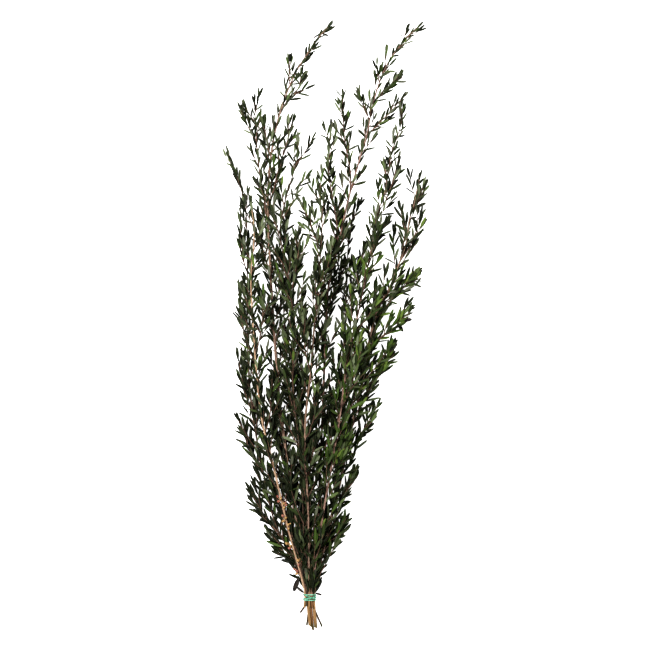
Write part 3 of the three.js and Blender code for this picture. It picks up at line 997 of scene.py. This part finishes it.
def collar(heap, line, tie):
    """Broad leaves that press out of the tie all round."""
    dense = np.arange(tie - 1, tie + COLLAR_DENSE, COLLAR_GAPS[0])
    sparse = np.arange(tie + COLLAR_DENSE, tie + COLLAR, COLLAR_GAPS[1])
    for distance in np.concatenate([dense, sparse]):
        lean = math.radians(rng.uniform(*COLLAR_LEAN))
        axis, outward = lean_from(line.heading(distance), rng.uniform(0, FULL_TURN), lean)
        foot = line.point(distance) + outward * line.radius(distance) * 0.8
        lay_leaf(heap, foot, axis, UP + outward * 0.5, 1.2, swatch_at(foot, USUAL_GROWTH))


def stem_wood(name, line):
    """A stem's wood, from its cut butt to its tip."""
    wood = Heap()
    slant = rng.uniform(-0.7, 0.7)
    wood.lay(STEM, lay_limb(STEM, line, knotted(line), slant))
    bark = BARK[STEM_BARK.get(name, "dark")]
    wood.piece(name + "_wood", [bark, CUT_WOOD, PITH], "stem", name)


def stem_leaves(name, line):
    """A stem's twigs, and its leaves."""
    leaves = Heap()
    growth = growth_of(name)
    tie = above_tie(line)
    start = tie + FOLIAGE_START.get(name, USUAL_START)
    end = line.length - LAST_TWIG
    gaps, lengths = FULLER[name]
    grow_twigs(leaves, name, line, start, end, gaps, lengths, BARE_TOP)
    leafy(leaves, line, start + 4, gap=11, size=0.9, growth=growth, turn=rng.uniform(0, 6))
    if name == BARE_STEM:
        grow_twigs(leaves, name, line, tie + BARE_LENGTH, start, gaps=(0.6,), bare_top=1.0)
    else:
        collar(leaves, line, tie)
    tip = line.length - TIP_LEAVES
    leafy(leaves, line, tip, gap=5.5, size=0.8, growth=growth, turn=rng.uniform(0, 6))
    leaves.piece(name + "_leaves", [LEAF], slot_for(name))


def leafy_fork(name, line):
    """A fork's twigs and leaves. Its wood joins the twigs of its stem."""
    twig_heaps[stem_of(name)].lay(TWIG, lay_limb(TWIG, line))
    leaves = Heap()
    growth = growth_of(name)
    gaps = (crowding(name, share(line.points[0][1])), 1.1)
    grow_twigs(leaves, name, line, 10, line.length - LAST_TWIG, gaps)
    leafy(leaves, line, 12, gap=5, size=0.85, growth=growth, turn=rng.uniform(0, 6))
    leaves.piece(name + "_leaves", [LEAF], slot_for(name), name)


def leafy_shoot(name, line):
    """A shoot's twigs and leaves. Its wood joins the twigs of its stem."""
    parent = shoot_parent[name]
    twig_heaps[stem_of(parent)].lay(TWIG, lay_limb(TWIG, line))
    leaves = Heap()
    growth = growth_of(parent)
    at = share(line.points[-1][1])
    size = np.interp(at, HEIGHTS, LEAF_SIZE)
    close = crowding(parent, at)
    leafy(leaves, line, 0.15 * line.length, 4.6 * close, size, growth, turn=rng.uniform(0, 6))
    start, end = 0.25 * line.length, 0.8 * line.length
    grow_twigs(leaves, parent, line, start, end, gaps=(close,), lengths=0.75)
    leaves.piece(name + "_leaves", [LEAF], slot_for(parent), name)


for name, line in stems.items():
    stem_wood(name, line)
    stem_leaves(name, line)
for name, line in forks.items():
    leafy_fork(name, line)
for name, line in shoots.items():
    leafy_shoot(name, line)
for name, heap in twig_heaps.items():
    heap.piece(name + "_twigs", [BARK["twig"]], "stem")


# ---------------------------------------------------------------- the tie

STRAND_TURNS = ((0, 0), (3, 3), (0, 3), (3, 0), (1.5, 1))  # the lane each starts and ends in
STRAND_STEPS = 72
LANE_GAP = 2.35
MIDDLE_LANE = 1.5
CROSSING = (0.27, 0.73)  # a turn changes lanes between these parts of its way
STRAND_SIDES = 10
STRAND_ACROSS = 0.7  # half the strand's width
STRAND_HEIGHT = 0.45  # half its height
STRAND_SQUARE = 0.6  # 1 for a round strand, less for a squarer one


def taut_outline(points):
    """The taut outline of points, anticlockwise."""
    ordered = sorted(map(tuple, points))

    def half(row):
        chain = []
        for p in row:
            while len(chain) > 1:
                a, b = chain[-2:]
                if (b[0] - a[0]) * (p[1] - a[1]) - (b[1] - a[1]) * (p[0] - a[0]) > 1e-9:
                    break
                chain.pop()
            chain.append(p)
        return chain[:-1]

    return np.array(half(ordered) + half(ordered[::-1]))


def lane_at(turn, part):
    """The lane that the strand is in at a part of a turn, and how far it has crossed to its new
    one. A turn ends half way to the next one's lane, and that one starts there."""
    start, end = STRAND_TURNS[turn]
    crossed = np.interp(part, CROSSING, [0, 1])
    lane = start * (1 - crossed) + end * crossed
    if part > 0.8:
        following = STRAND_TURNS[(turn + 1) % len(STRAND_TURNS)][0]
        lane = np.interp(part, [0.8, 1], [end, (end + following) / 2])
    if part < 0.2 and turn:
        before = STRAND_TURNS[turn - 1][1]
        lane = np.interp(part, [0, 0.2], [(before + start) / 2, start])
    return lane, crossed


def strand_path():
    """The middle of the strand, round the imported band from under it, and the way outwards."""
    middle = (TIE_LOW.y + TIE_HIGH.y) / 2 / MM
    outline = taut_outline(corners("tie_band")[:, [0, 2]])
    centre = (outline.min(0) + outline.max(0)) / 2
    closed = np.vstack([outline, outline[:1]])
    spans = np.linalg.norm(np.diff(closed, axis=0), axis=1)
    at = np.concatenate([[0], np.cumsum(spans)]) / spans.sum()
    bottom = at[np.argmin(np.abs(closed[:, 0] - centre[0]) + 10 * (closed[:, 1] > centre[1]))]
    points, outward = [], []
    for turn in range(len(STRAND_TURNS)):
        for i in range(STRAND_STEPS):
            part = i / STRAND_STEPS
            where = (bottom + part) % 1
            spot = np.array([np.interp(where, at, closed[:, k]) for k in range(2)])
            way = unit(spot - centre)
            lane, crossed = lane_at(turn, part)
            over = math.sin(math.pi * crossed) * 0.7 * max(turn - 1, 0)
            spot = spot - way * STRAND_HEIGHT + way * over
            points.append([spot[0], middle + (lane - MIDDLE_LANE) * LANE_GAP, spot[1]])
            outward.append([way[0], 0, way[1]])
    return np.array(points), np.array(outward)


def squarish(value):
    """A cosine or sine, pushed out towards a square's."""
    return math.copysign(abs(value) ** STRAND_SQUARE, value)


def tie_strand():
    """One rubber strand wound five times, the last turns lying over those below them."""
    points, outward = strand_path()
    heading = unit(np.roll(points, -1, 0) - np.roll(points, 1, 0))
    outward = unit(outward - heading * (outward * heading).sum(1)[:, None])
    side = np.cross(heading, outward)
    angles = np.linspace(0, FULL_TURN, STRAND_SIDES, endpoint=False)
    profile = [(squarish(math.cos(t)), squarish(math.sin(t))) for t in angles]
    made = []
    for p, o, s in zip(points, outward, side):
        for c, d in profile:
            made.append(p + s * STRAND_ACROSS * c + o * STRAND_HEIGHT * d)
    made = np.array(made)
    made[:, 2] = np.maximum(made[:, 2], STRAND_GAP)
    n, k = len(points), len(profile)
    strand = Heap()
    for i in range(n):
        a, b = i * k, (i + 1) % n * k
        for j in range(k):
            strand.faces.append((a + j, a + (j + 1) % k, b + (j + 1) % k, b + j))
    strand.corners = [made]
    strand.finish = [0] * len(strand.faces)
    ob = strand.piece("tie_strand", [RUBBER], "tie", "tie_band")
    only_selected(ob)
    bpy.ops.object.mode_set(mode="EDIT")
    face_outwards()


tie_strand()


# ---------------------------------------------------------------- dry flowers and curled leaves

CLUMPS = (24, 38, 62, 86, 96, 112, 122)  # along the stem, above the tie
CLUMP_SIDES = (0.72, 0.25)  # clumps take these sides by turns, as parts of half a turn
CLUMP_FLOWERS = 4
STRAW_SHARE = 0.45  # of the cups
CURL = 0.012
CURLED_BREADTH = 1.8


def dry_flowers():
    """Clumps of dry flower cups on short stubs, up the bare foot of the left front stem."""
    dry, stubs = Heap(), Heap()
    stem = stems[BARE_STEM]
    tie = above_tie(stem)
    for i, above in enumerate(CLUMPS):
        distance = tie + above + rng.uniform(-2, 2)
        turn = CLUMP_SIDES[i % 2] * math.pi + rng.normal(0, 0.2)
        stub = side_twig(stem, distance, turn, math.radians(38), rng.uniform(9, 14), 0.6)
        stubs.lay(TWIG, lay_limb(TWIG, stub))
        for j in range(CLUMP_FLOWERS):
            place = stub.length * (1 - 0.2 * j)
            lean = math.radians(20 + 14 * j)
            axis, outward = lean_from(stub.heading(place), turn + j * GOLDEN_ANGLE, lean)
            foot = stub.point(place) + outward * 0.3
            across = unit(np.cross(axis, UP))
            x, y, z = CAPSULE_SHAPE.corners.T / MM * rng.uniform(0.8, 1.15)
            made = foot + np.outer(x, across) + np.outer(y, axis)
            made = made + np.outer(z, np.cross(across, axis))
            dry.lay(CAPSULE_SHAPE, made, finish_shift=int(rng.random() < STRAW_SHARE))
    dry.piece("dry_flowers", [CAPSULE, STRAW], "stem")
    stubs.piece("dry_flower_stubs", [BARK["pale"]], "stem")


def curled_leaves():
    """Old leaves that have curled up, three by the tie and two at the right edge of the fan."""
    curled = Heap()
    low, high = TIE_LOW / MM, TIE_HIGH / MM
    outer = shoots["shoot_outer_right_5"]
    for foot, way, size in (
        ((low.x - 5.5, high.y + 21, high.z), (-0.35, -0.93, -0.1), 1.1),
        ((high.x - 1, high.y + 1.5, high.z - 3), (0.96, -0.25, 0.1), 0.5),
        ((low.x + 1, high.y + 2, high.z - 4), (-0.75, 0.62, 0.1), 0.62),
        (outer.point(0.8 * outer.length), (1, 0, 0.05), 0.95),
        (outer.point(0.74 * outer.length), (0.55, -0.83, 0), 0.85),
    ):
        axis = unit(way)
        facing = unit(UP - axis * axis[2])
        across = np.cross(axis, facing)
        x, y, z = LEAVES[0].corners.T / MM * size
        bent = z - CURL * y**2 / size
        made = np.array(foot) + np.outer(x * CURLED_BREADTH, across) + np.outer(y, axis)
        curled.lay(LEAVES[0], made + np.outer(bent, facing))
    curled.piece("curled_leaves", [DRY_LEAF], "leaf")


dry_flowers()
curled_leaves()


# ---------------------------------------------------------------- floor, light and camera

FLOOR_SIZE = 14
FLOOR_GLOW = 0.7
AIR_LIGHT = 0.12
WHITE = (1, 1, 1, 1)
LENS = 200
SENSOR = 36
VIEW_WIDTH = 0.8266  # what the camera takes in, at the height where it is aimed
AIM = (-0.0011, 0.0002, 0.04)


def white_floor():
    """A plain floor, with some light of its own, so that it is as white as the air."""
    bpy.ops.mesh.primitive_plane_add(size=FLOOR_SIZE, location=(0, 0, 0))
    floor = bpy.context.object
    floor.name = "floor"
    values = {"Base Color": (0.9, 0.9, 0.9, 1), "Roughness": 0.9, "Specular IOR Level": 0.1}
    values["Emission Color"] = WHITE
    values["Emission Strength"] = FLOOR_GLOW
    floor.data.materials.append(Finish("floor_white").shader(values))


def white_air():
    """White all round, which lights the bundle less than it shows to the camera."""
    world = bpy.data.worlds.new("studio")
    world.use_nodes = True
    tree = world.node_tree
    air = tree.nodes["Background"]
    air.inputs["Color"].default_value = WHITE
    seen = tree.nodes.new("ShaderNodeLightPath").outputs["Is Camera Ray"]
    strength = tree.nodes.new("ShaderNodeMapRange")
    strength.inputs["To Min"].default_value = AIR_LIGHT
    strength.inputs["To Max"].default_value = 1.0
    tree.links.new(seen, strength.inputs["Value"])
    tree.links.new(strength.outputs[0], air.inputs["Strength"])
    bpy.context.scene.world = world


def soft_light(name, place, size, power):
    """A round soft light that points at the middle of the bundle."""
    lamp = bpy.data.lights.new(name, "AREA")
    lamp.shape = "DISK"
    lamp.size = size
    lamp.energy = power
    ob = bpy.data.objects.new(name, lamp)
    ob.location = place
    ob.rotation_euler = (-Vector(place)).to_track_quat("-Z", "Y").to_euler()
    bpy.context.scene.collection.objects.link(ob)


def overhead_camera():
    """A long lens that looks straight down on the bundle."""
    lens = bpy.data.cameras.new("camera")
    lens.lens = LENS
    lens.sensor_width = SENSOR
    camera = bpy.data.objects.new("camera", lens)
    camera.location = (AIM[0], AIM[1], AIM[2] + VIEW_WIDTH * LENS / SENSOR)
    bpy.context.scene.collection.objects.link(camera)
    bpy.context.scene.camera = camera


white_floor()
white_air()
soft_light("key", place=(-0.7, 0.5, 2.5), size=0.75, power=88)
soft_light("fill", place=(1.5, -0.6, 1.8), size=1.6, power=10)
overhead_camera()
bpy.context.scene.view_settings.view_transform = "Standard"
bpy.context.scene.view_settings.look = "High Contrast"
